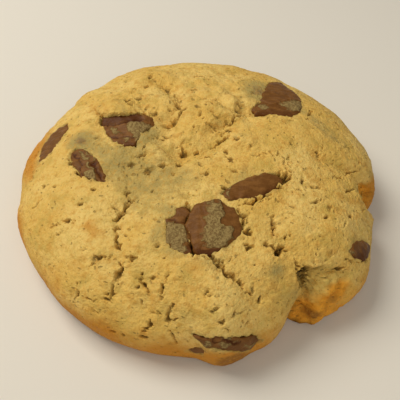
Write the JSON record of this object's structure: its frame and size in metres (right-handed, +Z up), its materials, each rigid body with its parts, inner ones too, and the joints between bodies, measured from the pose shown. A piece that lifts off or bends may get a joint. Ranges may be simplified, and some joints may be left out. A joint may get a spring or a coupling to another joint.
{
  "type": "chocolate chip cookie",
  "caption": "Thick round drop cookie with a domed, cracked crust, irregular pieces of milk chocolate set into it, a torn lobed edge and a flat underside to lie on.",
  "frame": {"origin": "middle of the cookie's footprint, on the surface that it lies on", "axes": "+Z up out of the domed crust; +Y towards the back, along the longest width; the torn lobe is towards +X and -Y"},
  "size_m": [0.0993, 0.1063, 0.0262],
  "materials": {
    "dough": "matt baked crust, golden, pitted",
    "chocolate": "milk chocolate, dull sheen"
  },
  "bodies": {
    "root": {"dough": "dough", "centre_chunk_left": "chocolate", "centre_chunk_right": "chocolate", "oval_chip": "chocolate", "back_chunk": "chocolate", "left_chunk": "chocolate", "left_chip": "chocolate", "far_left_chip": "chocolate", "right_chip": "chocolate", "front_chunk": "chocolate", "front_chip": "chocolate"}
  },
  "joints": []
}
